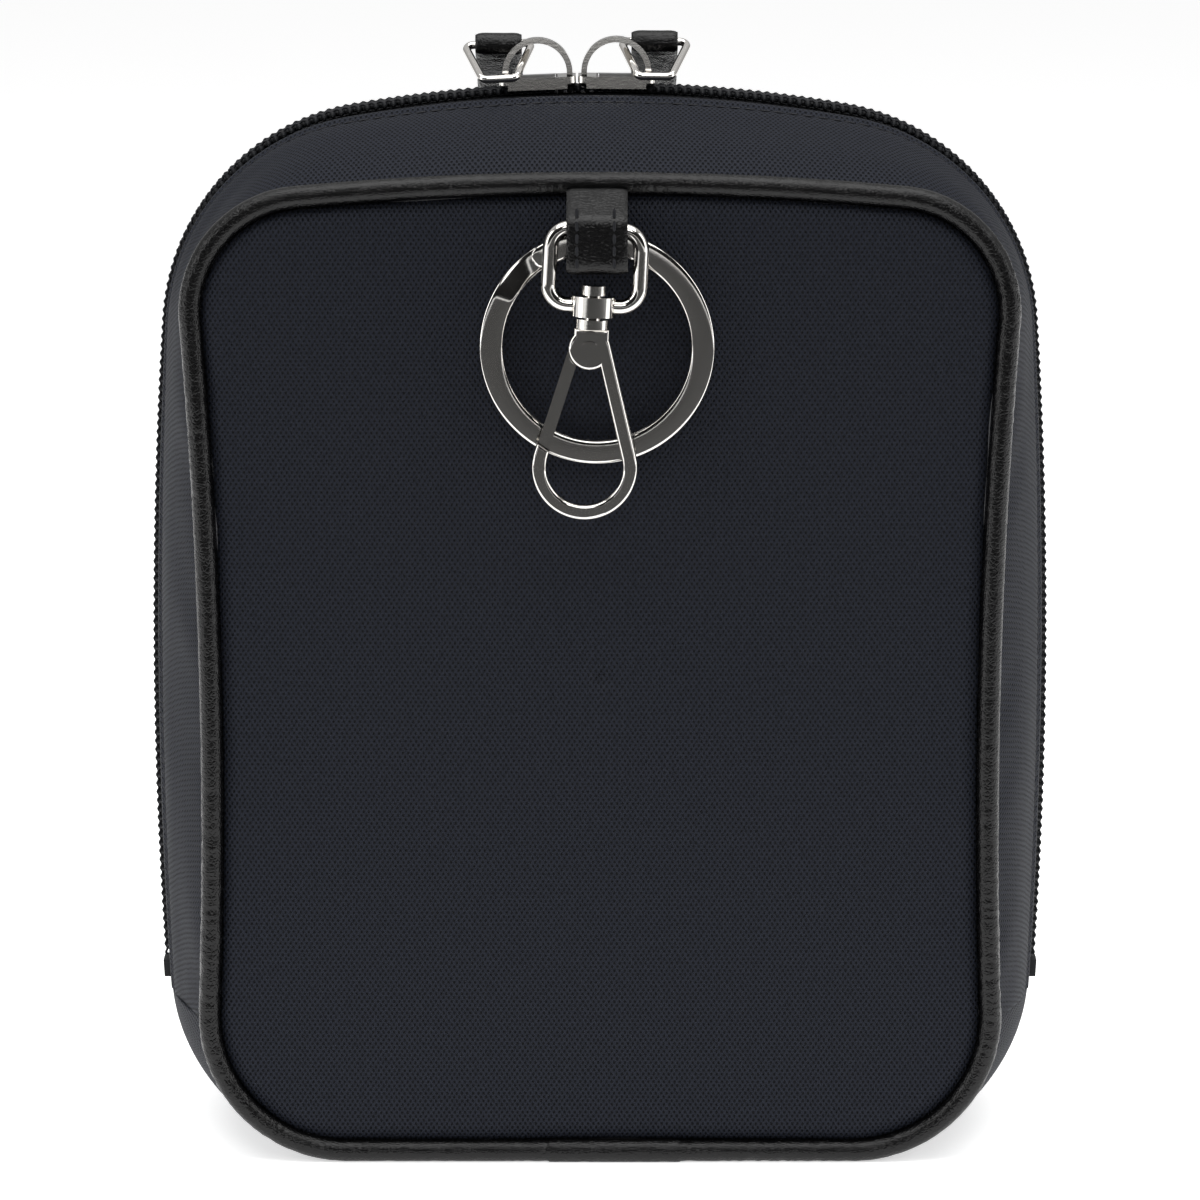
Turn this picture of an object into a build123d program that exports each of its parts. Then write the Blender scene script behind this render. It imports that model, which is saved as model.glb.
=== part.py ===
"""Hanging toiletry bag: a zipped nylon case with leather piping, a snap hook and a split ring.

Frame: X is the width, +Z is up, and -Y is the side that carries the hook. The origin is on
the surface that the bag stands on, under the middle of its base. All sizes are millimetres.
"""
from build123d import *
from collections import namedtuple
from math import cos, radians, sin, sqrt, tan
import os

os.makedirs("parts", exist_ok=True)

# ---- Case: overall sizes ---------------------------------------------------------------
depth = 72.0            # front face of one piping to rear face of the other
piping_radius = 1.9     # leather tube
cord_radius = 1.3       # filler cord inside the leather tube
edge_height = 171.8     # top of the piping's centre line
dome_height = 185.0     # top of the case, along the zip

# ---- Case: the sewn edge (the piping's centre line) -------------------------------------
edge_half_top = 71.6
edge_half_waist = 67.3
edge_half_bottom = 69.4
edge_crown = 4.6        # how much the top line drops on its way to the corners
edge_corner_top = 20.0
edge_corner_bottom = 24.0

# ---- Case: the section half-way back, along the zip -------------------------------------
zip_half_top = 73.6
zip_half_belly = 78.6
zip_half_bottom = 75.0
zip_crown_radius = 250.0
zip_corner_top = 40.0
zip_corner_bottom = 27.0

# ---- Case: cloth, foam and board --------------------------------------------------------
nylon = 0.8
foam = 2.0
lining = 0.5
tuck = 0.9              # how far the gusset's face stands outside the piping's centre line
panel_step = 1.0        # how far the panel lies behind the front of the piping
binding_width = 2.4
binding_thickness = 2.1
binding_gap = 1.1       # from the piping's centre line in to the binding
base_seam_height = 25.0  # where the base strip's ends meet the zipped gusset
part_gap = 0.3          # between cloth pieces that open away from each other
sewn_gap = 0.2          # between a panel's edge and the piping that it is sewn against
base_trim = 0.1         # trimmed off under the base strip, which leaves it flat
board_thickness = 1.2
board_margin = 8.0
board_corner = 10.0

# ---- Zip --------------------------------------------------------------------------------
tape_reach = 15.0       # each tape, from the zip's middle to its hidden edge
tape_thickness = 0.6
tape_window = 7.5       # where the gusset's folded edge stops short of the middle
coil_half_width = 3.0
coil_height = 0.9       # above the cloth's face
slot_half = 0.6         # gap down the middle for the slider's divider
stop_length = 3.0

# ---- Sliders, links and pulls -----------------------------------------------------------
meeting_x = -4.0        # the two sliders meet nose to nose a little left of the middle
nose_gap = 0.3
slider_length = 13.4
slider_half_nose = 4.3
slider_half_tail = 3.8
plate_thickness = 1.1
plate_clearance = 0.3   # from coil or tape to a plate
flange_thickness = 0.6
flange_drop = 1.0
divider_half = 0.4
divider_length = 3.0
bridge_half_width = 1.3
bridge_thickness = 1.0
bridge_rise = 6.8       # above the upper plate
bridge_foot = 0.6       # from the nose
bridge_mouth = 0.6      # gap that the lock spring closes
spring_thickness = 0.3
link_wire = 0.7         # radius
link_lean = 58.0        # degrees from upright, leaning back
link_below = 5.8        # pivot to the short bar
link_above = 4.4        # pivot to the wide bar
link_short_half = 2.9
link_wide_half = 6.0
link_corner = 1.2
link_along = 8.7        # pivot, from the slider's nose
link_height = 3.3       # pivot, above the upper plate
pull_width = 8.0
pull_ply = 1.0
pull_length = 27.0
pull_slope = 24.0       # degrees below level
pull_fit = 0.25         # leather loop around the wire

# ---- Hook, ring and the tab that holds them ---------------------------------------------
hook_x = -0.5
tab_width = 10.0
tab_ply = 1.2
tab_top = 171.2
tab_bottom = 157.2
tab_fold = 3.0          # outer radius where the leather turns over the bar and under it
tab_fold_back = 1.4
tab_rise = 2.2          # tab's shoulder, above the loop's top bar
bar_z = 164.9           # centre of the loop's top bar
ring_top = 164.2
hook_lean = 3.0         # degrees, foot towards -X
hook_wire = 1.3         # radius of the loop's wire, half the thickness of the hook
hook_gap = 0.4          # between the loop's wire and the ring, and to the tab
loop_half_width = 9.0
loop_height = 15.6
loop_corner = 4.6
collar_radius = 3.8
collar_height = 3.4
post_radius = 1.5
post_head_radius = 2.2
post_head_height = 1.6
post_top = 1.9          # underside of the post's head, above the middle of the collar
swivel_fit = 0.15
neck_radius = 3.0
neck_height = 1.6
neck_gap = 0.5
rivet_drop = 20.3       # loop's top bar down to the rivet
rivet_side = -0.2
head_radius = 3.6
eye_drop = 40.6         # loop's top bar down to the centre of the hook's bend
eye_radius = 6.5
hook_band = 2.5
nose_drop = 37.0        # loop's top bar down to the nose's cut
nose_slant = 32.0       # degrees below level
gate_width = 2.1
gate_thickness = 2.2
gate_swing = 25.0       # degrees that the gate opens
gate_root_from = 190.0  # the gate's thin root lies between these angles about the rivet
gate_root_to = 250.0
gate_fit = 0.2
cheek_slot = 1.3        # between the two cheeks of the hook's head
hub_radius = 2.3
hub_thickness = 1.0
spring_radius = 1.4
hook_rounding = 0.6
rivet_radius = 0.8
rivet_head_radius = 1.4
rivet_head_height = 0.35
ring_radius = 20.0
ring_band = 3.9
ring_coil = 1.35        # thickness of each of the ring's two turns
ring_corner = 0.5
ring_overlap_angle = 141.0

# ---- Places worked out from the sizes ---------------------------------------------------
edge_y = depth / 2 - piping_radius
seam_y = edge_y - piping_radius
panel_y = depth / 2 - panel_step
zip_arc_z = dome_height - zip_crown_radius
coil_top = coil_height
tape_top = -nylon
coil_bottom = tape_top
tape_bottom = tape_top - tape_thickness

Outline = namedtuple("Outline", "top waist bottom crest crown floor corner_top corner_bottom")


def crown_drop(radius, half):
    """How far an arc of this radius falls between its middle and half its width."""
    return radius - sqrt(radius ** 2 - half ** 2)


EDGE = Outline(edge_half_top, edge_half_waist, edge_half_bottom, edge_height, edge_crown,
               piping_radius, edge_corner_top, edge_corner_bottom)
GUSSET_EDGE = EDGE._replace(top=edge_half_top + tuck, waist=edge_half_waist + tuck,
                            bottom=edge_half_bottom + tuck, crest=edge_height + tuck, floor=-base_trim,
                            corner_top=edge_corner_top + tuck,
                            corner_bottom=edge_corner_bottom + tuck)
MIDDLE = Outline(zip_half_top, zip_half_belly, zip_half_bottom, dome_height,
                 crown_drop(zip_crown_radius, zip_half_top), -base_trim, zip_corner_top,
                 zip_corner_bottom)


def upright(y):
    """A sketch plane across the bag at this y: its x is X and its y is Z."""
    return Plane.XZ.offset(-y)


def draw_outline(shape, grow=0.0, mode=Mode.ADD):
    """Draw one closed outline of the case, grown outwards by a distance."""
    top = shape.top + grow
    waist = shape.waist + grow
    bottom = shape.bottom + grow
    crest = shape.crest + grow
    floor = shape.floor - grow
    shoulder = crest - shape.crown
    middle = (shoulder + floor) / 2
    with BuildSketch(mode=Mode.PRIVATE) as drawn:
        with BuildLine():
            ThreePointArc((-top, shoulder), (0, crest), (top, shoulder))
            ThreePointArc((top, shoulder), (waist, middle), (bottom, floor))
            Line((bottom, floor), (-bottom, floor))
            ThreePointArc((-bottom, floor), (-waist, middle), (-top, shoulder))
        make_face()
        fillet(drawn.vertices().group_by(Axis.Y)[0], shape.corner_bottom + grow)
        fillet(drawn.vertices().group_by(Axis.Y)[-1], shape.corner_top + grow)
    add(drawn.sketch_local, mode=mode)


def case_sections(grow):
    """The case's outline at its two sewn edges and half-way, grown by a distance."""
    sections = []
    for y, shape in ((-seam_y, GUSSET_EDGE), (0.0, MIDDLE), (seam_y, GUSSET_EDGE)):
        with BuildSketch(upright(y)) as section:
            draw_outline(shape, grow)
        sections.append(section.sketch.faces()[0])
    return sections


def shell_of_case(outer, inner):
    """Loft the case's wall between two growths, bulging from one sewn edge to the other."""
    loft(case_sections(outer))
    loft(case_sections(inner), mode=Mode.SUBTRACT)


def keep_between(y_from, y_to, z_from, z_to):
    """Keep only what lies between two depths and two heights."""
    with Locations((0, (y_from + y_to) / 2, (z_from + z_to) / 2)):
        Box(4 * edge_half_top, abs(y_to - y_from), z_to - z_from, mode=Mode.INTERSECT)


def save(part, name):
    """Label one finished piece and write it."""
    part.label = name
    export_step(part, f"parts/{name}.step")


# ---- The two faces of the case, each with its gusset and its half of the zip ------------
headroom = 2 * dome_height
for face, side in (("front", -1), ("rear", 1)):
    base_gap = 0.0 if side < 0 else part_gap
    stack = panel_y
    for layer, thickness in (("panel", nylon), ("foam", foam), ("lining", lining)):
        with BuildPart() as sheet_part:
            with BuildSketch(upright(side * stack)):
                draw_outline(EDGE, -piping_radius - sewn_gap)
            extrude(amount=side * thickness)
        save(sheet_part.part, f"{face}_{layer}")
        stack -= thickness

    with BuildSketch(upright(side * edge_y)) as route:
        draw_outline(EDGE)
    piping_path = route.sketch.faces()[0].outer_wire()
    across = Plane(origin=piping_path @ 0, z_dir=piping_path % 0)
    with BuildPart() as piping:
        with BuildSketch(across):
            Circle(piping_radius)
            Circle(cord_radius, mode=Mode.SUBTRACT)
        sweep(path=piping_path)
    save(piping.part, f"{face}_piping")
    with BuildPart() as piping_cord:
        with BuildSketch(across):
            Circle(cord_radius)
        sweep(path=piping_path)
    save(piping_cord.part, f"{face}_piping_cord")

    with BuildPart() as binding:
        with BuildSketch(upright(side * stack)):
            draw_outline(EDGE, -binding_gap)
            draw_outline(EDGE, -binding_gap - binding_thickness, mode=Mode.SUBTRACT)
        extrude(amount=side * binding_width)
    save(binding.part, f"{face}_seam_binding")

    gusset_foot = base_seam_height + base_gap
    with BuildPart() as gusset:
        shell_of_case(0.0, -nylon)
        keep_between(side * tape_window, side * depth, gusset_foot, headroom)
    save(gusset.part, f"{face}_gusset")
    with BuildPart() as tape:
        shell_of_case(tape_top, tape_bottom)
        keep_between(side * slot_half, side * tape_reach, gusset_foot, headroom)
    save(tape.part, f"{face}_zip_tape")
    with BuildPart() as gusset_lining:
        shell_of_case(tape_bottom, tape_bottom - lining)
        keep_between(side * tape_window, side * depth, gusset_foot, headroom)
    save(gusset_lining.part, f"{face}_gusset_lining")
    coil_foot = base_seam_height + tape_thickness + stop_length + base_gap
    with BuildPart() as coil:
        shell_of_case(coil_top, coil_bottom)
        keep_between(side * slot_half, side * coil_half_width, coil_foot, headroom)
    save(coil.part, f"{face}_zip_coil")

# ---- Base strip, its lining and the board that keeps it flat ----------------------------
with BuildPart() as base_gusset:
    shell_of_case(0.0, -nylon)
    keep_between(-depth, seam_y - part_gap, 0, base_seam_height)
save(base_gusset.part, "base_gusset")

with BuildPart() as base_lining:
    shell_of_case(tape_bottom, tape_bottom - lining)
    keep_between(-depth, seam_y - part_gap, -nylon, base_seam_height)
save(base_lining.part, "base_lining")

board_half_x = edge_half_bottom - edge_corner_bottom
board_half_y = seam_y - board_margin
with BuildPart() as base_board:
    with BuildSketch(Plane.XY.offset(lining - tape_bottom)):
        RectangleRounded(2 * board_half_x, 2 * board_half_y, board_corner)
    extrude(amount=board_thickness)
save(base_board.part, "base_board")

with BuildPart() as zip_stops:
    shell_of_case(coil_top + nylon / 2, coil_bottom + part_gap)
    keep_between(-coil_half_width, coil_half_width, base_seam_height + tape_thickness,
                 base_seam_height + tape_thickness + stop_length)
save(zip_stops.part, "zip_stops")

# ---- Sliders, lock springs, links and leather pulls -------------------------------------
plate_low = coil_top + plate_clearance
plate_high = plate_low + plate_thickness
lower_high = tape_bottom - plate_clearance
lower_low = lower_high - plate_thickness


def track_plane(side, along, above, axis="side"):
    """A plane on the zip's arc, `along` from a slider's nose and `above` the cloth.

    Its x runs away from the nose. With axis "side" it stands upright along the zip, and
    with axis "top" it lies flat on the zip.
    """
    radius = zip_crown_radius
    turn = meeting_x / radius + side * (nose_gap / 2 + slider_length / 2) / radius
    outward = Vector(sin(turn), 0, cos(turn))
    tangent = Vector(side * cos(turn), 0, -side * sin(turn))
    middle = Vector(0, 0, zip_arc_z) + outward * (radius + above)
    origin = middle + tangent * (along - slider_length / 2)
    if axis == "side":
        return Plane(origin=origin, x_dir=tangent, z_dir=(0, -side, 0))
    return Plane(origin=origin, x_dir=tangent, z_dir=outward)


def draw_plate(inset=0.0, mode=Mode.ADD):
    """A slider plate seen from above: wide at the nose, narrower at the tail."""
    nose = slider_half_nose - inset
    tail = slider_half_tail - inset
    Polygon((inset, -nose), (slider_length - inset, -tail),
            (slider_length - inset, tail), (inset, nose), align=None, mode=mode)


for name, side in (("left", -1), ("right", 1)):
    bridge_top = plate_high + bridge_rise
    bridge_end = slider_length - bridge_foot
    bridge_middle = slider_length / 2
    with BuildPart() as slider:
        with BuildSketch(track_plane(side, 0, plate_low, "top")):
            draw_plate()
        extrude(amount=plate_thickness)
        fillet(slider.edges().filter_by(lambda e: e.length < plate_thickness * 1.01), 1.0)
        with BuildSketch(track_plane(side, 0, plate_low, "top")):
            draw_plate()
            with Locations((slider_length / 2, 0)):
                Rectangle(2 * slider_length, 2 * (slider_half_tail - flange_thickness),
                          mode=Mode.SUBTRACT)
            with Locations((0, 0), (slider_length, 0)):
                Rectangle(3.0, 4 * slider_half_nose, mode=Mode.SUBTRACT)
        extrude(amount=-flange_drop)
        with BuildSketch(track_plane(side, 0, lower_low, "top")):
            draw_plate(inset=0.3)
        extrude(amount=plate_thickness)
        with BuildSketch(track_plane(side, 0.6 + divider_length / 2, lower_low, "top")):
            Rectangle(divider_length, 2 * divider_half)
        extrude(amount=plate_high - lower_low)
        with BuildSketch(track_plane(side, 0, 0, "side")):
            with BuildLine():
                outer = ThreePointArc((bridge_foot, plate_high - 0.2),
                                      (bridge_middle, bridge_top),
                                      (bridge_end, plate_high + bridge_mouth))
                inner = ThreePointArc((bridge_end - bridge_thickness,
                                       plate_high + bridge_mouth),
                                      (bridge_middle, bridge_top - bridge_thickness),
                                      (bridge_foot + bridge_thickness, plate_high - 0.2))
                Line(outer @ 1, inner @ 0)
                Line(inner @ 1, outer @ 0)
            make_face()
        extrude(amount=bridge_half_width, both=True)
    save(slider.part, f"{name}_slider")

    with BuildPart() as lock_spring:
        with BuildSketch(track_plane(side, slider_length / 2 + 1.0, plate_high, "top")):
            RectangleRounded(slider_length - 4.4, 2 * bridge_half_width - 0.6, 0.8)
        extrude(amount=spring_thickness)
    save(lock_spring.part, f"{name}_lock_spring")

    pivot = track_plane(side, link_along, plate_high + link_height, "side")
    lean = Vector(0, sin(radians(link_lean)), 0) + pivot.y_dir * cos(radians(link_lean))
    link_plane = Plane(origin=pivot.origin, x_dir=pivot.x_dir,
                       z_dir=pivot.x_dir.cross(lean))
    link_shift = (link_short_half * link_above + link_wide_half * link_below) \
        / (link_above + link_below)
    with BuildSketch(link_plane) as link_window:
        with BuildLine():
            Polyline((link_shift - link_short_half, -link_below),
                     (link_shift + link_short_half, -link_below),
                     (link_shift + link_wide_half, link_above),
                     (link_shift - link_wide_half, link_above), close=True)
        make_face()
        fillet(link_window.vertices(), link_corner)
    link_path = link_window.sketch.faces()[0].outer_wire()
    with BuildPart() as link:
        with BuildSketch(Plane(origin=link_path @ 0, z_dir=link_path % 0)):
            Circle(link_wire)
        sweep(path=link_path)
    save(link.part, f"{name}_pull_link")

    bar = link_plane.from_local_coords(Vector(link_shift, link_above, 0))
    slope = radians(pull_slope)
    pull_plane = Plane(origin=bar, x_dir=(0, cos(slope), -sin(slope)), z_dir=(1, 0, 0))
    loop_outer = link_wire + pull_fit + pull_ply
    with BuildPart() as pull:
        with BuildSketch(pull_plane):
            Circle(loop_outer)
            with Locations((pull_length / 2, 0)):
                Rectangle(pull_length, 2 * pull_ply)
            Circle(link_wire + pull_fit, mode=Mode.SUBTRACT)
        extrude(amount=pull_width / 2, both=True)
    save(pull.part, f"{name}_leather_pull")
    print(name, "slider turns about", (0, 0, round(zip_arc_z, 3)),
          "| link pivot", tuple(round(v, 3) for v in pivot.origin),
          "axis", tuple(round(v, 4) for v in (link_plane.from_local_coords(
              Vector(link_shift - link_wide_half, link_above, 0))
              - link_plane.from_local_coords(
                  Vector(link_shift - link_short_half, -link_below, 0))).normalized()),
          "| pull pivot", tuple(round(v, 3) for v in bar))

# ---- Tab, split ring and snap hook ------------------------------------------------------
ring_back = panel_y + tab_ply + hook_gap / 2
ring_front = ring_back + 2 * ring_coil
hook_y = ring_front + hook_gap + collar_radius
tab_front = hook_y + hook_wire + hook_gap + tab_ply
edge_low = edge_height - piping_radius - sewn_gap
ring_z = ring_top - ring_radius
lean = radians(hook_lean)
hook_plane = Plane(origin=(hook_x, -hook_y, bar_z), x_dir=(cos(lean), 0, -sin(lean)),
                   z_dir=(0, -1, 0))
rivet = (rivet_side, -rivet_drop)
eye = (0, -eye_drop)
collar_drop = loop_height - 2 * hook_wire
neck_top = -collar_drop - collar_height / 2 - neck_gap
neck_low = neck_top - neck_height

with BuildPart() as hook_tab:
    with BuildSketch(Plane(origin=(hook_x, 0, 0), x_dir=(0, 1, 0), z_dir=(1, 0, 0))) as strip:
        Polygon((-panel_y, tab_bottom), (-panel_y, edge_low), (-depth / 2 - sewn_gap, edge_low),
                (-depth / 2 - sewn_gap, tab_top), (-depth / 2 - 2 * tab_ply, tab_top),
                (-tab_front, bar_z + tab_rise), (-tab_front, tab_bottom), align=None)
        fillet(strip.vertices().group_by(Axis.Y)[0].sort_by(Axis.X)[0], tab_fold)
        fillet(strip.vertices().group_by(Axis.X)[-1].sort_by(Axis.Y)[0], tab_fold_back)
        fillet(strip.vertices().group_by(Axis.X)[0].sort_by(Axis.Y)[-1], tab_fold)
        offset(amount=-tab_ply, mode=Mode.SUBTRACT)
    extrude(amount=tab_width / 2, both=True)
save(hook_tab.part, "hook_tab")

with BuildPart() as split_ring:
    with BuildSketch(Plane(origin=(hook_x, 0, ring_z), x_dir=(1, 0, 0), z_dir=(0, 0, 1))) as band:
        with Locations((ring_radius - ring_band / 2, -(ring_back + ring_front) / 2)):
            RectangleRounded(ring_band, ring_front - ring_back, ring_corner)
    revolve(axis=Axis((hook_x, 0, ring_z), (0, 1, 0)))
save(split_ring.part, "split_ring")

with BuildSketch(hook_plane) as loop_window:
    with Locations((0, -collar_drop / 2)):
        RectangleRounded(2 * (loop_half_width - hook_wire), collar_drop, loop_corner - hook_wire)
loop_path = loop_window.sketch.faces()[0].outer_wire()
swivel_plane = Plane(origin=hook_plane.from_local_coords(Vector(0, -collar_drop, 0)),
                     x_dir=hook_plane.x_dir, z_dir=hook_plane.y_dir)
with BuildPart() as hook_loop:
    with BuildSketch(Plane(origin=loop_path @ 0, z_dir=loop_path % 0)):
        Circle(hook_wire)
    sweep(path=loop_path)
    with BuildSketch(swivel_plane.offset(-collar_height / 2)):
        Circle(collar_radius)
    extrude(amount=collar_height)
    with BuildSketch(swivel_plane.offset(-collar_height)):
        Circle(post_radius + swivel_fit)
    extrude(amount=2 * collar_height, mode=Mode.SUBTRACT)
save(hook_loop.part, "hook_loop")


def draw_teardrop(growth, mode=Mode.ADD):
    """Two circles and the straight sides between them: the eye's, and a small one at the rivet."""
    with BuildSketch(mode=Mode.PRIVATE) as drop:
        with Locations(eye):
            Circle(eye_radius + growth)
        with Locations(rivet):
            Circle(head_radius - hook_band + growth)
        make_hull()
    add(drop.sketch_local, mode=mode)


def draw_gate_side(gap, mode):
    """The region left of the hook's middle and above the nose's slanted cut."""
    nose_side = eye_radius + hook_band / 2
    fall = tan(radians(nose_slant))
    far = 2 * nose_side
    Polygon((0, 0), (-far, 0), (-far, gap - nose_drop + fall * (far - nose_side)),
            (0, gap - nose_drop - fall * nose_side), align=None, mode=mode)


def draw_wedge(turn_from, turn_to, mode=Mode.ADD):
    """A wedge that starts at the rivet, between two angles from the hook's x."""
    reach = 2 * head_radius
    turns = (turn_from, (turn_from + turn_to) / 2, turn_to)
    with Locations(rivet):
        Polygon((0, 0), *[(reach * cos(radians(turn)), reach * sin(radians(turn)))
                          for turn in turns], align=None, mode=mode)


with BuildPart() as hook_body:
    with BuildSketch(hook_plane.offset(-hook_wire)):
        draw_teardrop(hook_band)
        draw_teardrop(0, mode=Mode.SUBTRACT)
        draw_gate_side(0, Mode.SUBTRACT)
        with Locations(rivet):
            Circle(head_radius)
        with Locations((0, (neck_low - rivet_drop) / 2)):
            Rectangle(2 * neck_radius, neck_low + rivet_drop)
    extrude(amount=2 * hook_wire)
    fillet(hook_body.faces().sort_by(Axis.Y)[0].edges(), hook_rounding)
    with BuildSketch(hook_plane.offset(-cheek_slot / 2)):
        with Locations(rivet):
            Circle(hub_radius + gate_fit)
        draw_wedge(gate_root_from - 10, gate_root_to + gate_swing + 3)
    extrude(amount=cheek_slot, mode=Mode.SUBTRACT)
    with BuildSketch(swivel_plane.offset(neck_low + collar_drop)):
        Circle(neck_radius)
    extrude(amount=neck_height)
    with BuildSketch(swivel_plane.offset(neck_low + collar_drop)):
        Circle(post_radius)
    extrude(amount=-neck_low - collar_drop + post_top)
    with BuildSketch(swivel_plane.offset(post_top)):
        Circle(post_head_radius)
    extrude(amount=post_head_height)
    with BuildSketch(hook_plane.offset(-2 * hook_wire)):
        with Locations(rivet):
            Circle(rivet_radius)
    extrude(amount=4 * hook_wire, mode=Mode.SUBTRACT)
save(hook_body.part, "hook_body")

with BuildPart() as hook_gate:
    with BuildSketch(hook_plane.offset(-gate_thickness / 2)):
        draw_teardrop(hook_band - gate_fit)
        draw_teardrop(gate_fit, mode=Mode.SUBTRACT)
        draw_gate_side(gate_fit, Mode.INTERSECT)
        with Locations(rivet):
            Circle(head_radius + gate_fit, mode=Mode.SUBTRACT)
    extrude(amount=gate_thickness)
    with BuildSketch(hook_plane.offset(-hub_thickness / 2)):
        draw_teardrop(hook_band - gate_fit)
        draw_teardrop(gate_fit, mode=Mode.SUBTRACT)
        draw_gate_side(gate_fit, Mode.INTERSECT)
        draw_wedge(gate_root_from, gate_root_to, Mode.INTERSECT)
        with Locations(rivet):
            Circle(head_radius + gate_width, mode=Mode.INTERSECT)
            Circle(hub_radius)
            Circle(rivet_radius + gate_fit / 2, mode=Mode.SUBTRACT)
    extrude(amount=hub_thickness)
    with BuildSketch(hook_plane.offset(-hub_thickness / 2)):
        with Locations(rivet):
            Circle(spring_radius + gate_fit / 2)
    extrude(amount=hub_thickness / 2, mode=Mode.SUBTRACT)
save(hook_gate.part, "hook_gate")

with BuildPart() as gate_spring:
    with BuildSketch(hook_plane.offset(-hub_thickness / 2)):
        with Locations(rivet):
            Circle(spring_radius)
            Circle(rivet_radius, mode=Mode.SUBTRACT)
    extrude(amount=hub_thickness / 2 - gate_fit / 2)
save(gate_spring.part, "gate_spring")

with BuildPart() as gate_rivet:
    with BuildSketch(hook_plane.offset(-hook_wire)):
        with Locations(rivet):
            Circle(rivet_radius)
    extrude(amount=2 * hook_wire)
    for end in (-hook_wire - rivet_head_height, hook_wire):
        with BuildSketch(hook_plane.offset(end)):
            with Locations(rivet):
                Circle(rivet_head_radius)
        extrude(amount=rivet_head_height)
save(gate_rivet.part, "gate_rivet")

print("hook bar", tuple(round(v, 3) for v in hook_plane.origin),
      "rivet", tuple(round(v, 3) for v in hook_plane.from_local_coords(Vector(*rivet, 0))),
      "eye", tuple(round(v, 3) for v in hook_plane.from_local_coords(Vector(*eye, 0))),
      "swivel axis", tuple(round(v, 4) for v in hook_plane.y_dir),
      "ring centre z", ring_z, "fold axis", (edge_y, piping_radius))
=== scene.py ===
# %% [markdown]
# # Hanging toiletry bag: the visual model
# The real object is a small zipped case of woven nylon with leather piping, a leather tab with a
# snap hook and a split ring, and a two-way coil zip. Every soft piece is drawn here as a numpy
# surface in millimetres; the hard fittings are the CAD solids with a polished finish.

# %% Load the shared frame
import math

import bpy
import numpy as np
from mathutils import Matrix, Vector


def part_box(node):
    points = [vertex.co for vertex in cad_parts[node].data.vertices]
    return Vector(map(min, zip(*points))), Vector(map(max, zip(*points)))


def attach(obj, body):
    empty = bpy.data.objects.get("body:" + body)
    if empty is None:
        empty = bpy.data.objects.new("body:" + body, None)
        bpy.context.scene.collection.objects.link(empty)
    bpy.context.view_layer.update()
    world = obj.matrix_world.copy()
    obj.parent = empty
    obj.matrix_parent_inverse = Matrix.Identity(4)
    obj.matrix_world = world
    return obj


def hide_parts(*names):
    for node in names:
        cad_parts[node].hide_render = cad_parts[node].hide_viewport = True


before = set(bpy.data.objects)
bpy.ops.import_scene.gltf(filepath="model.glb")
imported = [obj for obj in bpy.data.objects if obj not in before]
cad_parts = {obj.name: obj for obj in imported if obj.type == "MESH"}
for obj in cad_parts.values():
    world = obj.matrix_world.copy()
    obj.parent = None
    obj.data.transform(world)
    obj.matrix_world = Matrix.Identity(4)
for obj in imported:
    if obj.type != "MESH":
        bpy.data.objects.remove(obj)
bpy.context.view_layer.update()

# %% [markdown]
# ## The bag's own sizes
# The case is a wall that bulges between two sewn edges. Each edge follows the piping; half-way
# between them the wall rises into a dome. Only the sizes that shape the cloth are repeated here.

# %% Sizes, in millimetres
MM = 0.001
SEAM_Y = 32.2
EDGE_Y = 34.1
PANEL_Y = 35.0
PIPING_RADIUS = 1.9
BASE_SEAM = 25.0
PART_GAP = 0.3
NYLON_THICKNESS = 0.8
FOAM_THICKNESS = 1.8
LINING_THICKNESS = 0.5
CASE_MIDDLE = np.array([0.0, 0.0, 85.0])
EDGE = dict(top=71.6, waist=67.3, bottom=69.4, crest=171.8, crown=4.6, floor=1.9,
            corner_top=20.0, corner_bottom=24.0)
WALL_EDGE = dict(EDGE, top=72.5, waist=68.2, bottom=70.3, crest=172.7, floor=-0.1,
                 corner_top=20.9, corner_bottom=24.9)
ZIP_RADIUS = 250.0
WALL_MIDDLE = dict(top=73.6, waist=78.6, bottom=75.0, crest=185.0,
                   crown=ZIP_RADIUS - math.sqrt(ZIP_RADIUS ** 2 - 73.6 ** 2), floor=-0.1,
                   corner_top=40.0, corner_bottom=27.0)
SIDES = (("front", -1.0, "front_half"), ("rear", 1.0, "rear_half"))


def smooth(low, high, x):
    """Zero below low, one above high, and an S-shaped cubic between them."""
    t = np.clip((x - low) / (high - low), 0.0, 1.0)
    return t * t * (3.0 - 2.0 * t)


def waves(a, b, count, shortest, longest, seed):
    """A sum of `count` sine waves in two lengths a and b, with seeded directions and phases."""
    rng = np.random.default_rng(seed)
    total = np.zeros(np.broadcast(a, b).shape)
    for _ in range(count):
        length = rng.uniform(shortest, longest)
        turn = rng.uniform(0.0, math.pi)
        phase = rng.uniform(0.0, 2.0 * math.pi)
        along = a * math.cos(turn) + b * math.sin(turn)
        total = total + np.sin(2.0 * math.pi * along / length + phase)
    return total / math.sqrt(count)


print("seeded, wall edge", WALL_EDGE["crest"], "middle", WALL_MIDDLE["crest"])

# %% [markdown]
# ## Outlines
# Seen from the front the sewn edge is a rounded tall shape: a shallow arc on top, sides that
# draw in a little, a flat foot, and round corners. Each corner is an arc tangent to both its
# neighbours, found from the two circles that its centre has to lie on.

# %% Outline functions


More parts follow.
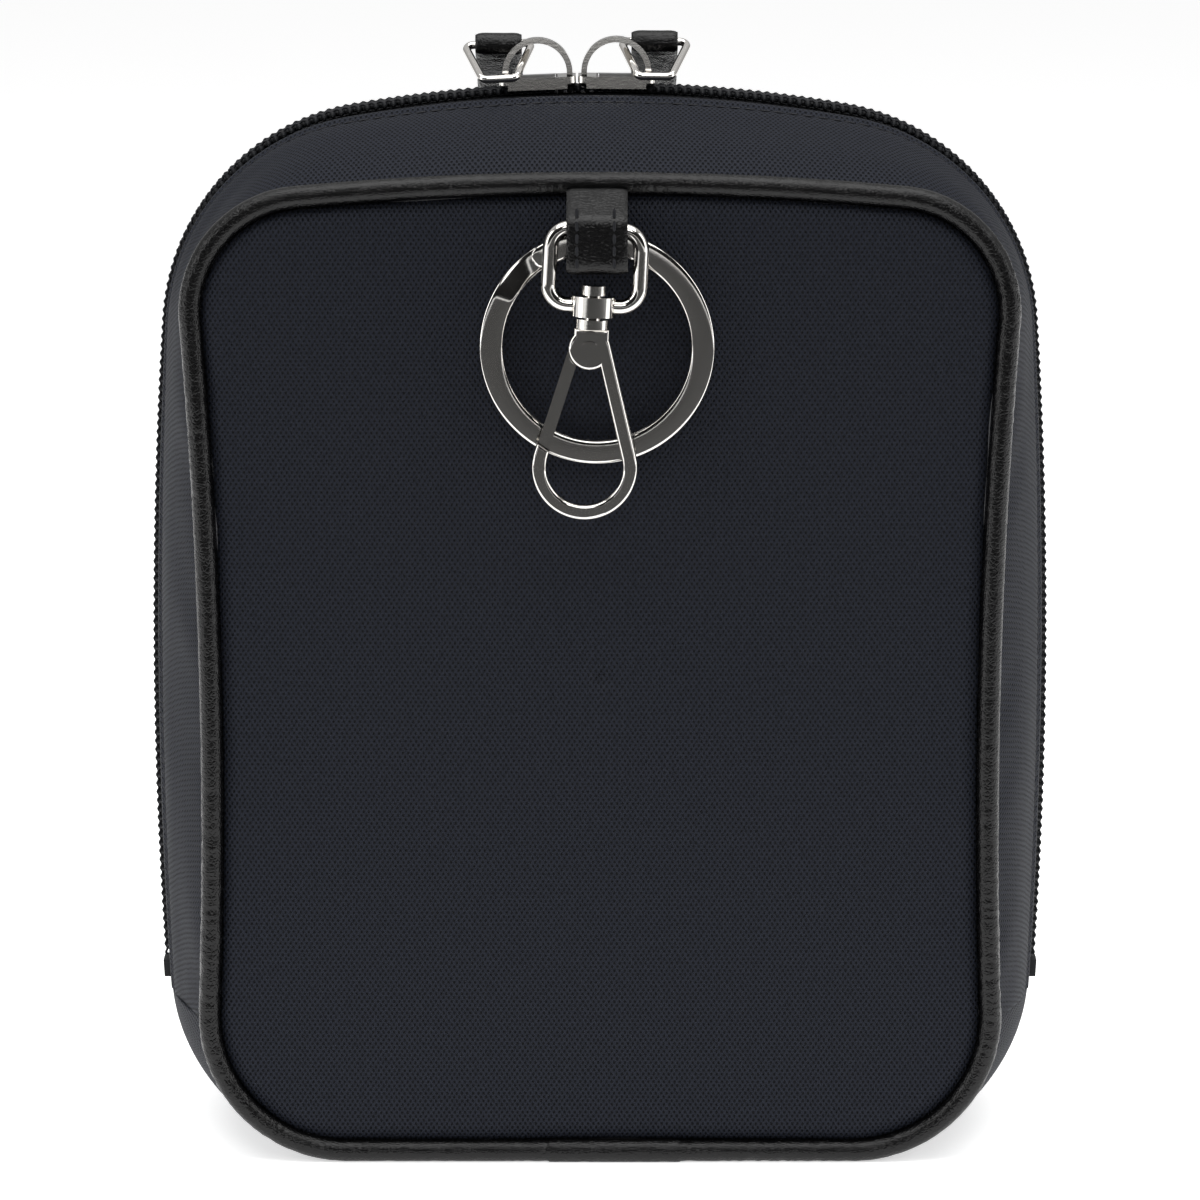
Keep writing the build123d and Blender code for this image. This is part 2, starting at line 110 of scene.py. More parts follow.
def circle_through(p, q, r):
    """Centre and radius of the circle through three points."""
    ax, az = q[0] - p[0], q[1] - p[1]
    bx, bz = r[0] - p[0], r[1] - p[1]
    d = 2.0 * (ax * bz - az * bx)
    ux = (bz * (ax * ax + az * az) - az * (bx * bx + bz * bz)) / d
    uz = (ax * (bx * bx + bz * bz) - bx * (ax * ax + az * az)) / d
    return np.array([p[0] + ux, p[1] + uz]), math.hypot(ux, uz)


def arc_points(centre, start, end, count):
    """Points along a circle about `centre` from start to end, the short way round."""
    a = math.atan2(start[1] - centre[1], start[0] - centre[0])
    b = math.atan2(end[1] - centre[1], end[0] - centre[0])
    turn = (b - a + math.pi) % (2.0 * math.pi) - math.pi
    radius = math.hypot(start[0] - centre[0], start[1] - centre[1])
    t = a + turn * np.linspace(0.0, 1.0, count, endpoint=False)
    return np.stack([centre[0] + radius * np.cos(t), centre[1] + radius * np.sin(t)], 1)


def outline(shape, grow=0.0, counts=(60, 80, 240, 80, 160)):
    """The closed outline of one section, from the middle of its foot round by +X and back.

    Foot line, corner arc, side arc, corner arc, top arc, then the same mirrored. Row k of two
    sections made with the same counts are partners, so the wall between them can be blended.
    """
    top, waist, bottom = (shape[k] + grow for k in ("top", "waist", "bottom"))
    crest, floor = shape["crest"] + grow, shape["floor"] - grow
    shoulder = crest - shape["crown"]
    crown, crown_radius = circle_through((-top, shoulder), (0.0, crest), (top, shoulder))
    side, side_radius = circle_through((top, shoulder), (waist, (shoulder + floor) / 2),
                                       (bottom, floor))
    bulge = 1.0 if side[0] < waist else -1.0
    r = shape["corner_bottom"] + grow
    reach = side_radius - bulge * r
    low_z = floor + r
    low_x = side[0] + bulge * math.sqrt(reach ** 2 - (low_z - side[1]) ** 2)
    low = np.array([low_x, low_z])
    low_end = side + (low - side) / reach * side_radius
    r = shape["corner_top"] + grow
    reach = side_radius - bulge * r
    inner = crown_radius - r
    gap = side - crown
    apart = float(np.hypot(*gap))
    ahead = (inner ** 2 - reach ** 2 + apart ** 2) / (2.0 * apart)
    across = math.sqrt(inner ** 2 - ahead ** 2)
    unit = gap / apart
    normal = np.array([-unit[1], unit[0]])
    options = [crown + unit * ahead + normal * s * across for s in (1.0, -1.0)]
    high = max(options, key=lambda p: p[1] if p[0] > 0 else -1e9)
    high_start = side + (high - side) / reach * side_radius
    high_end = crown + (high - crown) / inner * crown_radius
    foot = np.stack([np.linspace(0.0, low_x, counts[0], endpoint=False),
                     np.full(counts[0], floor)], 1)
    half = np.concatenate([
        foot, arc_points(low, (low_x, floor), low_end, counts[1]),
        arc_points(side, low_end, high_start, counts[2]),
        arc_points(high, high_start, high_end, counts[3]),
        arc_points(crown, high_end, (0.0, crest), counts[4])])
    mirrored = half[:0:-1] * np.array([-1.0, 1.0])
    return np.concatenate([half, [[0.0, crest]], mirrored])


def along_loop(points, count):
    """`count` places equally far apart along a closed loop, with tangents and lengths."""
    closed = np.concatenate([points, points[:1]])
    steps = np.hypot(*np.diff(closed, axis=0).T)
    length = np.concatenate([[0.0], np.cumsum(steps)])
    at = np.linspace(0.0, length[-1], count, endpoint=False)
    place = np.stack([np.interp(at, length, closed[:, k]) for k in (0, 1)], 1)
    tangent = np.roll(place, -1, 0) - np.roll(place, 1, 0)
    tangent = tangent / np.hypot(*tangent.T)[:, None]
    return place, tangent, at


print("edge outline", outline(EDGE).shape, "zip outline", outline(WALL_MIDDLE).shape)

# %% [markdown]
# ## Building a mesh from a grid
# A surface is a function of two parameters. Its values fill a grid of points; neighbouring
# points make four-sided faces. UV is kept in millimetres, so a weave keeps its real pitch.

# %% Mesh builder


def grid_faces(nu, nv, wrap_u, wrap_v):
    """Corner indices of every quad of a grid, and of the UV grid that has one more row."""
    i, j = np.meshgrid(np.arange(nu if wrap_u else nu - 1),
                       np.arange(nv if wrap_v else nv - 1), indexing="ij")
    i, j = i.ravel(), j.ravel()
    a = np.stack([i, i + 1, i + 1, i], 1)
    b = np.stack([j, j, j + 1, j + 1], 1)
    return (a % nu) * nv + b % nv, a, b


def make_mesh(name, verts, faces, uv, material, extra=()):
    """A smooth mesh object in the row frame from vertices in millimetres and quads."""
    name = name.replace(" ", "_")
    mesh = bpy.data.meshes.new(name)
    loops = np.concatenate([faces.ravel()] + [np.asarray(e) for e in extra]).astype(np.int32)
    sizes = np.concatenate([np.full(len(faces), 4), [len(e) for e in extra]]).astype(np.int32)
    starts = np.concatenate([[0], np.cumsum(sizes)[:-1]]).astype(np.int32)
    mesh.vertices.add(len(verts))
    mesh.vertices.foreach_set("co", (verts * MM).astype(np.float32).ravel())
    mesh.loops.add(len(loops))
    mesh.loops.foreach_set("vertex_index", loops)
    mesh.polygons.add(len(sizes))
    mesh.polygons.foreach_set("loop_start", starts)
    layer = mesh.uv_layers.new(name="UVMap")
    flat = np.zeros((len(loops), 2), np.float32)
    flat[:4 * len(faces)] = uv.reshape(-1, 2)
    layer.data.foreach_set("uv", flat.ravel())
    mesh.update(calc_edges=True)
    mesh.validate()
    mesh.polygons.foreach_set("use_smooth", np.ones(len(mesh.polygons), bool))
    mesh.materials.append(material)
    made = bpy.data.objects.new(name, mesh)
    bpy.context.scene.collection.objects.link(made)
    return made


def surface(name, points, uv, material, wrap=(False, False), caps=False, flip=False):
    """A grid of points (nu, nv, 3) as a mesh; `uv` has one more row on each wrapped side.

    With caps the first and last rows of a tube are closed by one face each, and with
    caps="first" only the first row, which is the pole of a disc.
    """
    nu, nv = points.shape[:2]
    faces, a, b = grid_faces(nu, nv, *wrap)
    corner_uv = uv[a, b]
    extra = []
    if caps:
        extra = [np.arange(nv)[::-1], np.arange(nv) + (nu - 1) * nv]
    if caps == "first":
        extra = extra[:1]
    if flip:
        faces, corner_uv = faces[:, ::-1], corner_uv[:, ::-1]
        extra = [e[::-1] for e in extra]
    return make_mesh(name, points.reshape(-1, 3), faces, corner_uv, material, extra)


def repeated(name, template, origins, frames, material):
    """One small capped tube, `template` (nu, nv, 3), set down at many places and turns."""
    nu, nv = template.shape[:2]
    count = len(origins)
    verts = np.einsum("pk,nkc->npc", template.reshape(-1, 3), frames) + origins[:, None, :]
    quads, a, b = grid_faces(nu, nv, False, True)
    shift = np.arange(count) * nu * nv
    faces = (quads[None] + shift[:, None, None]).reshape(-1, 4)
    uv = np.stack([a * 0.3, b * 0.3], -1)
    uv = np.broadcast_to(uv, (count,) + uv.shape).reshape(-1, 4, 2)
    low = np.arange(nv)[::-1]
    high = np.arange(nv) + (nu - 1) * nv
    extra = [e + s for s in shift for e in (low, high)]
    return make_mesh(name, verts.reshape(-1, 3), faces, uv, material, extra)


def solidify(made, thickness, offset=-1.0):
    """Gives a single surface its real thickness in millimetres."""
    modifier = made.modifiers.new("thickness", "SOLIDIFY")
    modifier.thickness = thickness * MM
    modifier.offset = offset
    return made


def finish_piece(made, body, slot, *nodes):
    """The piece rides on its body and stands for its CAD nodes, which it hides; the finish slot is
    not used.
    """
    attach(made, body)
    if nodes:
        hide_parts(*nodes)
    return made


def pill(length, radius, rings=5, around=6, flat=0.7):
    """A small capsule along its own X: a tube whose radius falls to almost nothing at the ends."""
    t = np.linspace(-1.0, 1.0, rings)[:, None]
    a = np.linspace(0.0, 2.0 * math.pi, around, endpoint=False)[None]
    r = radius * np.sqrt(np.clip(1.04 - t ** 4, 0.02, 1.0))
    return np.stack([t * length / 2 + 0 * a, r * np.cos(a), flat * r * np.sin(a)], -1)


print("helpers ready")

# %% [markdown]
# ## Materials
# All finishes are procedural and lie on UV or Object coordinates. The weave is the product of
# two cosines in millimetres: its peaks form the brick pattern of small gaps between the threads.

# %% Material helpers


def start_material(name):
    """A new material with its Principled shader, and a short way to add nodes."""
    made = bpy.data.materials.new(name)
    made.use_nodes = True
    tree = made.node_tree
    shader = next(n for n in tree.nodes if n.type == "BSDF_PRINCIPLED")
    return made, tree, shader


def add(tree, kind, *inputs, **settings):
    """A node with its settings; each input is a value or another node's output."""
    node = tree.nodes.new(kind)
    for key, value in settings.items():
        setattr(node, key, value)
    for k, value in enumerate(inputs):
        if value is None:
            continue
        if isinstance(value, bpy.types.NodeSocket):
            tree.links.new(value, node.inputs[k])
        else:
            node.inputs[k].default_value = value
    return node.outputs[0]


def maths(tree, operation, *inputs):
    """A Math node."""
    return add(tree, "ShaderNodeMath", *inputs, operation=operation)


def blend_colours(tree, factor, low, high):
    """A colour between two colours by a factor from 0 to 1."""
    node = tree.nodes.new("ShaderNodeMix")
    node.data_type = "RGBA"
    tree.links.new(factor, node.inputs[0])
    node.inputs[6].default_value = (*low, 1.0)
    node.inputs[7].default_value = (*high, 1.0)
    return node.outputs[2]


def bump(tree, shader, height, distance, strength=1.0):
    """Bump from a height in 0 to 1, `distance` in millimetres deep."""
    node = tree.nodes.new("ShaderNodeBump")
    node.inputs["Strength"].default_value = strength
    node.inputs["Distance"].default_value = distance * MM
    tree.links.new(height, node.inputs["Height"])
    tree.links.new(node.outputs[0], shader.inputs["Normal"])


def noise(tree, scale, detail=3.0, vector=None):
    """A Noise texture's value; scale is cycles per unit of its coordinates."""
    node = tree.nodes.new("ShaderNodeTexNoise")
    node.inputs["Scale"].default_value = scale
    node.inputs["Detail"].default_value = detail
    if vector is not None:
        tree.links.new(vector, node.inputs["Vector"])
    return node.outputs[0]


def object_coordinates(tree):
    """The Object output of a Texture Coordinate node."""
    return tree.nodes.new("ShaderNodeTexCoord").outputs["Object"]


def woven(name, gap_pitch, row_pitch, thread, dark, depth_mm, rough, sheen):
    """Plain woven cloth: thread floats with small dark gaps in a brick pattern."""
    made, tree, shader = start_material(name)
    split = tree.nodes.new("ShaderNodeSeparateXYZ")
    uv = tree.nodes.new("ShaderNodeUVMap")
    tree.links.new(uv.outputs[0], split.inputs[0])
    wobble = maths(tree, "MULTIPLY", noise(tree, 0.35, 2.0, uv.outputs[0]), 0.5)
    across = maths(tree, "ADD", split.outputs[0], wobble)
    u = maths(tree, "COSINE", maths(tree, "MULTIPLY", across, 2 * math.pi / gap_pitch))
    v = maths(tree, "COSINE", maths(tree, "MULTIPLY", split.outputs[1], math.pi / row_pitch))
    product = maths(tree, "MULTIPLY", u, v)
    gap = maths(tree, "SMOOTH_MIN", maths(tree, "SUBTRACT", 1.0, product), 0.9, 0.3)
    gap = maths(tree, "MULTIPLY", gap, 1.15)
    slub = noise(tree, 0.9, 2.0, uv.outputs[0])
    uneven = maths(tree, "ADD", 0.62, maths(tree, "MULTIPLY", slub, 0.6))
    tone = maths(tree, "MULTIPLY", gap, uneven)
    tree.links.new(blend_colours(tree, tone, dark, thread), shader.inputs["Base Color"])
    bump(tree, shader, gap, depth_mm)
    shader.inputs["Roughness"].default_value = rough
    shader.inputs["Sheen Weight"].default_value = sheen
    shader.inputs["Sheen Roughness"].default_value = 0.4
    shader.inputs["Specular IOR Level"].default_value = 0.12
    return made


def leather(name, colour, rough, grain=0.09):
    """Grained leather: small cells with creases between them, and a soft gloss."""
    made, tree, shader = start_material(name)
    place = object_coordinates(tree)
    cells = tree.nodes.new("ShaderNodeTexVoronoi")
    cells.feature = "DISTANCE_TO_EDGE"
    cells.inputs["Scale"].default_value = 1400.0
    tree.links.new(place, cells.inputs["Vector"])
    crease = maths(tree, "MINIMUM", maths(tree, "MULTIPLY", cells.outputs[0], 4.0), 1.0)
    coarse = noise(tree, 420.0, 4.0, place)
    height = maths(tree, "ADD", maths(tree, "MULTIPLY", crease, 0.45),
                   maths(tree, "MULTIPLY", coarse, 0.8))
    dark = tuple(c * 0.55 for c in colour)
    tree.links.new(blend_colours(tree, coarse, dark, colour), shader.inputs["Base Color"])
    bump(tree, shader, height, grain)
    shader.inputs["Roughness"].default_value = rough
    shader.inputs["Specular IOR Level"].default_value = 0.3
    return made


def metal(name, colour, rough, scratch=0.004):
    """Polished plating with faint fine scratches."""
    made, tree, shader = start_material(name)
    place = object_coordinates(tree)
    stretch = tree.nodes.new("ShaderNodeMapping")
    stretch.inputs["Scale"].default_value = (900.0, 300.0, 2600.0)
    tree.links.new(place, stretch.inputs["Vector"])
    lines = noise(tree, 1.0, 3.0, stretch.outputs[0])
    bump(tree, shader, lines, scratch, 0.6)
    shader.inputs["Base Color"].default_value = (*colour, 1.0)
    shader.inputs["Metallic"].default_value = 1.0
    shader.inputs["Roughness"].default_value = rough
    return made


def plain(name, colour, rough, speckle=0.25, scale=900.0, depth_mm=0.05):
    """A matt material with a fine mottling."""
    made, tree, shader = start_material(name)
    value = noise(tree, scale, 3.0, object_coordinates(tree))
    dark = tuple(c * (1.0 - speckle) for c in colour)
    light = tuple(min(1.0, c * (1.0 + speckle)) for c in colour)
    tree.links.new(blend_colours(tree, value, dark, light), shader.inputs["Base Color"])
    bump(tree, shader, value, depth_mm)
    shader.inputs["Roughness"].default_value = rough
    shader.inputs["Specular IOR Level"].default_value = 0.25
    return made


NYLON = woven("woven nylon", 0.914, 0.69, (0.0120, 0.0140, 0.0210), (0.0001, 0.0001, 0.0002),
              0.32, 0.6, 0.0)
LINING = woven("lining cloth", 0.4, 0.3, (0.02, 0.021, 0.025), (0.006, 0.006, 0.008),
               0.04, 0.5, 0.05)
TAPE = woven("zip tape", 1.1, 0.32, (0.007, 0.0075, 0.010), (0.001, 0.001, 0.0015), 0.12, 0.7, 0.02)
LEATHER = leather("black leather", (0.0022, 0.0021, 0.0023), 0.27)
COIL = plain("zip coil", (0.0065, 0.007, 0.0085), 0.5, 0.2)
THREAD = plain("black thread", (0.008, 0.0085, 0.011), 0.6, 0.3)
BINDING = woven("binding tape", 0.8, 0.5, (0.012, 0.0125, 0.015), (0.004, 0.004, 0.005),
                0.08, 0.7, 0.02)
FOAM = plain("foam", (0.28, 0.28, 0.3), 0.9, 0.15)
BOARD = plain("base board", (0.06, 0.06, 0.065), 0.6, 0.15)
CORD = plain("piping cord", (0.55, 0.53, 0.48), 0.8, 0.1)
NICKEL = metal("polished nickel", (0.72, 0.7, 0.67), 0.09)
STEEL = metal("spring steel", (0.45, 0.45, 0.46), 0.3)
print("materials", len(bpy.data.materials))

# %% [markdown]
# ## The two faces
# Each face is nylon on foam on lining, sewn in behind the piping. The cloth crowns a little in
# the middle because the foam pushes it out, has long shallow waves from the seam's pull, and
# dips at the edge where the stitching draws it in.

# %% Panels
FOAM_Y = PANEL_Y - 0.9
LINING_Y = PANEL_Y - 2.85
PANEL_INSET = 2.05
INNER_RELIEF = 0.3


def panel_points(side, depth_at, grow, rings, spokes, relief):
    """Rings from the middle of the face to its outline, in depth: flat + crown + waves - dip.

    Row r is the outline scaled by r about the face's middle; the last rings turn down into
    the seam like a quarter circle.
    """
    rim, _, length = along_loop(outline(EDGE, grow), spokes)
    middle = np.array([0.0, (EDGE["crest"] + EDGE["floor"]) / 2])
    r = np.linspace(0.0, 1.0, rings) ** 0.8
    r[0] = 0.001
    flat = middle + r[:, None, None] * (rim - middle)[None]
    x, z = flat[..., 0], flat[..., 1]
    inward = (1.0 - r)[:, None] * np.hypot(*(rim - middle).T)[None]
    height = relief * (0.35 * smooth(0.0, 30.0, inward)
                       + 0.22 * waves(x, z, 9, 38.0, 95.0, 3)
                       + 0.07 * waves(x, z, 14, 11.0, 26.0, 4) * (1 - smooth(4.0, 24.0, inward)))
    height = height - 1.1 * relief * (1.0 - smooth(0.0, 2.6, inward))
    y = side * (depth_at + height)
    return np.stack([x, y + 0 * x, z], -1)


for face, side, body in SIDES:
    for layer, depth_at, thick, material, relief, rings, spokes in (
            ("panel", PANEL_Y, NYLON_THICKNESS, NYLON, 1.0, 64, 560),
            ("foam", FOAM_Y, FOAM_THICKNESS, FOAM, INNER_RELIEF, 24, 240),
            ("lining", LINING_Y, LINING_THICKNESS, LINING, INNER_RELIEF, 24, 240)):
        points = panel_points(side, depth_at, -PANEL_INSET, rings, spokes, relief)
        uv = points[..., (0, 2)]
        uv = np.concatenate([uv, uv[:, :1]], 1)
        made = surface(f"{face} {layer} cloth", points, uv, material, (False, True),
                       caps="first", flip=side > 0)
        solidify(made, thick)
        finish_piece(made, body, {"panel": "nylon"}.get(layer, layer), f"{face}_{layer}")
        print(made.name, len(made.data.polygons), "faces")

# %% [markdown]
# ## The wall round the case
# The gusset is one long strip on each side of the zip, joined to a base strip. It is a blend
# between the sewn edge and the dome, quadratic in depth, so it leaves the zip level and falls
# away to the seam. The edge at the zip is turned under, and stitched a little way back.

# %% Wall surfaces


def wall_rows(v, grow):
    """The closed section of the wall at depths v (-1 to 1): middle + (edge - middle) v squared."""
    middle = outline(WALL_MIDDLE, grow)
    edge = outline(WALL_EDGE, grow)
    return middle[None] + (edge - middle)[None] * (v ** 2)[:, None, None]


def wall_strip(depths, count, grow, low=None, high=None):
    """The part of the wall above `low` or below `high`, sampled evenly in length on each row."""
    rows = wall_rows(depths / SEAM_Y, grow)
    total = rows.shape[1]
    half = total // 2
    out = np.zeros((len(depths), count, 2))
    span = np.zeros(len(depths))
    for k, row in enumerate(rows):
        right = row[:half + 1]
        cut = low if low is not None else high
        at = np.interp(cut, right[:, 1], np.arange(half + 1))
        if low is not None:
            t = np.concatenate([[at], np.arange(math.ceil(at), total - math.ceil(at) + 1),
                                [total - at]])
        else:
            t = np.concatenate([[-at], np.arange(-math.floor(at), math.floor(at) + 1), [at]])
        ring = np.concatenate([row, row, row[:1]])
        source = np.arange(len(ring))
        t = t % total if low is not None else t + total
        piece = np.stack([np.interp(t, source, ring[:, c]) for c in (0, 1)], 1)
        steps = np.hypot(*np.diff(piece, axis=0).T)
        length = np.concatenate([[0.0], np.cumsum(steps)])
        span[k] = length[-1]
        even = np.linspace(0.0, length[-1], count)
        out[k] = np.stack([np.interp(even, length, piece[:, c]) for c in (0, 1)], 1)
    y = np.broadcast_to(depths[:, None], out.shape[:2])
    points = np.stack([out[..., 0], y, out[..., 1]], -1)
    along = (np.linspace(-0.5, 0.5, count)[None] * span[:, None])
    return points, along


def outward(points):
    """Unit normals of a wall grid (rows in depth, columns along), pointing out of the bag."""
    du = np.gradient(points, axis=0)
    dv = np.gradient(points, axis=1)
    n = np.cross(du, dv)
    n = n / np.maximum(np.linalg.norm(n, axis=2, keepdims=True), 1e-9)
    sign = np.sign(np.sum(n * (points - CASE_MIDDLE), axis=2))
    return n * np.where(np.median(sign) < 0, -1.0, 1.0)


def fix_winding(points, normal):
    """True if the grid's faces, as made, point against the given normals."""
    n = np.cross(points[1, 0] - points[0, 0], points[0, 1] - points[0, 0])
    return float(np.dot(n, normal[0, 0])) < 0


FOLD_Y = 7.6
STITCH_Y = 10.6
STITCH_PITCH = 2.6
WALL_THICKNESS = 0.75
WALL_LINING = 0.4
LINING_GROW = -1.45
SEAM_OVERLAP = 0.7
for face, side, body in SIDES:
    depths = side * np.concatenate([[FOLD_Y, FOLD_Y + 0.12, FOLD_Y + 0.35, FOLD_Y + 0.7],
                                    np.linspace(FOLD_Y + 1.2, 13.0, 10),
                                    np.linspace(13.8, SEAM_Y + SEAM_OVERLAP, 26)])
    foot = BASE_SEAM + (PART_GAP if side > 0 else 0.0)
    points, along = wall_strip(depths, 700, 0.0, low=foot)
    normal = outward(points)
    y = np.abs(points[..., 1])
    relief = 0.42 * waves(along, y * 1.6, 8, 34.0, 90.0, 11 + int(side))
    relief += 0.16 * waves(along, y * 0.5, 10, 9.0, 17.0, 21) * smooth(20.0, 31.0, y)
    relief *= smooth(STITCH_Y, STITCH_Y + 9.0, y)
    relief -= 0.4 * np.exp(-((y - STITCH_Y) / 0.9) ** 2) * (
        0.75 + 0.25 * np.cos(2 * math.pi * along / STITCH_PITCH))
    relief -= 0.55 * (1.0 - smooth(FOLD_Y, FOLD_Y + 0.75, y)) ** 2
    relief += 0.25 * smooth(FOLD_Y, FOLD_Y + 0.8, y) * (1.0 - smooth(STITCH_Y - 1.5, STITCH_Y, y))
    lifted = points + normal * relief[..., None]
    uv = np.stack([along, points[..., 1]], -1)
    cloth = surface(f"{face} gusset cloth", lifted, uv, NYLON, flip=fix_winding(points, normal))
    solidify(cloth, WALL_THICKNESS)
    finish_piece(cloth, body, "nylon", f"{face}_gusset")
    lining_points, lining_along = wall_strip(side * np.linspace(7.5, SEAM_Y, 16), 500,
                                             LINING_GROW, low=foot)
    inner = outward(lining_points)
    lining_cloth = surface(f"{face} gusset lining cloth", lining_points,
                           np.stack([lining_along, lining_points[..., 1]], -1), LINING,
                           flip=fix_winding(lining_points, inner))
    solidify(lining_cloth, WALL_LINING)
    finish_piece(lining_cloth, body, "lining", f"{face}_gusset_lining")
    seat = side * np.array([STITCH_Y])
    line, _ = wall_strip(np.concatenate([seat, seat + side * 0.5]), 172, 0.0, low=BASE_SEAM + 2)
    tangent = np.gradient(line[0], axis=0)
    tangent /= np.linalg.norm(tangent, axis=1, keepdims=True)
    up = outward(line)[0]
    frames = np.stack([tangent, np.cross(up, tangent), up], 1)
    stitches = repeated(f"{face} zip stitches", pill(2.2, 0.24), line[0] - up * 0.22, frames,
                        THREAD)
    finish_piece(stitches, body, "nylon")
    print(cloth.name, len(cloth.data.polygons), "faces;", len(line[0]), "stitches")

for name, grow, over, thick, material, slot in (
        ("base_gusset", 0.0, SEAM_OVERLAP, WALL_THICKNESS, NYLON, "nylon"),
        ("base_lining", LINING_GROW, 0.0, WALL_LINING, LINING, "lining")):
    depths = np.linspace(-SEAM_Y - over, SEAM_Y - PART_GAP, 34)
    points, along = wall_strip(depths, 360, grow, high=BASE_SEAM)
    normal = outward(points)
    base_cloth = surface(name.replace("_", " ") + " cloth", points,
                         np.stack([along, points[..., 1]], -1), material,
                         flip=fix_winding(points, normal))
    solidify(base_cloth, thick)
    finish_piece(base_cloth, "front_half", slot, name)
    print(base_cloth.name, len(base_cloth.data.polygons), "faces")

# %% [markdown]
# ## Leather piping
# A narrow strip of leather wrapped round a cord. It creases across where the strip bends at
# the corners, and its two ends overlap at the foot, which leaves a small step.

# %% Piping tubes


def tube_round(place, tangent, at, radius_at, y, around):
    """A tube round a loop in the XZ plane: centre + radius (outward cos a + depth sin a)."""
    a = np.linspace(0.0, 2.0 * math.pi, around, endpoint=False)
    out = np.stack([tangent[:, 1], -tangent[:, 0]], 1)
    r = radius_at(at[:, None], a[None])
    x = place[:, :1] + out[:, :1] * r * np.cos(a)
    z = place[:, 1:] + out[:, 1:] * r * np.cos(a)
    return np.stack([x, y + r * np.sin(a), z], -1), a


for face, side, body in SIDES:
    place, tangent, at = along_loop(outline(EDGE), 2600)
    total = at[-1] + at[1]

    def piping_radius_at(s, a, seed=31 + int(side), total=total):
        """Radius of the tube: cord + leather + cross creases, and the overlap at the foot."""
        signed = np.where(s > total / 2, s - total, s)
        overlap = smooth(-9.3, -8.7, signed) * (1.0 - smooth(13.7, 14.3, signed))
        turns = waves(s, 2.2 * np.sin(a), 16, 1.6, 6.0, seed)
        patch = 0.35 + 0.65 * smooth(-0.2, 1.0, waves(s, 0 * a, 5, 30.0, 90.0, seed + 5))
        crease = -0.09 * np.abs(turns) * patch
        return PIPING_RADIUS + 0.03 + crease + 0.2 * overlap

    points, angle = tube_round(place, tangent, at, piping_radius_at, side * EDGE_Y, 18)
    uv = np.stack(np.meshgrid(np.append(at, total), PIPING_RADIUS * np.append(angle, 2 * math.pi),
                              indexing="ij"), -1)
    piping = surface(f"{face} piping leather", points, uv, LEATHER, (True, True))
    finish_piece(piping, body, "leather", f"{face}_piping")
    bind_place, bind_tangent, bind_at = along_loop(outline(EDGE, -2.1), 700)
    corner = np.linspace(0.0, 2.0 * math.pi, 16, endpoint=False)
    shape_x = 1.0 * np.sign(np.cos(corner)) * np.abs(np.cos(corner)) ** 0.5
    shape_y = 1.1 * np.sign(np.sin(corner)) * np.abs(np.sin(corner)) ** 0.5
    out = np.stack([bind_tangent[:, 1], -bind_tangent[:, 0]], 1)
    bind = np.stack([bind_place[:, :1] + out[:, :1] * shape_x, 0 * bind_at[:, None]
                     + side * (30.5 + shape_y), bind_place[:, 1:] + out[:, 1:] * shape_x], -1)
    bind_uv = np.stack(np.meshgrid(np.append(bind_at, 0), np.append(corner, 6.3),
                                   indexing="ij"), -1)
    binding = surface(f"{face} seam binding cloth", bind, bind_uv, BINDING, (True, True))
    finish_piece(binding, body, "binding", f"{face}_seam_binding")
    print(piping.name, len(piping.data.polygons), "faces")

# %% [markdown]
# ## The zip
# Ribbed tape on each side carries a coil of nylon wire, sewn down by a line of thread. The two
# coils' turns sit between each other. Each turn is drawn as one small lens across the zip.

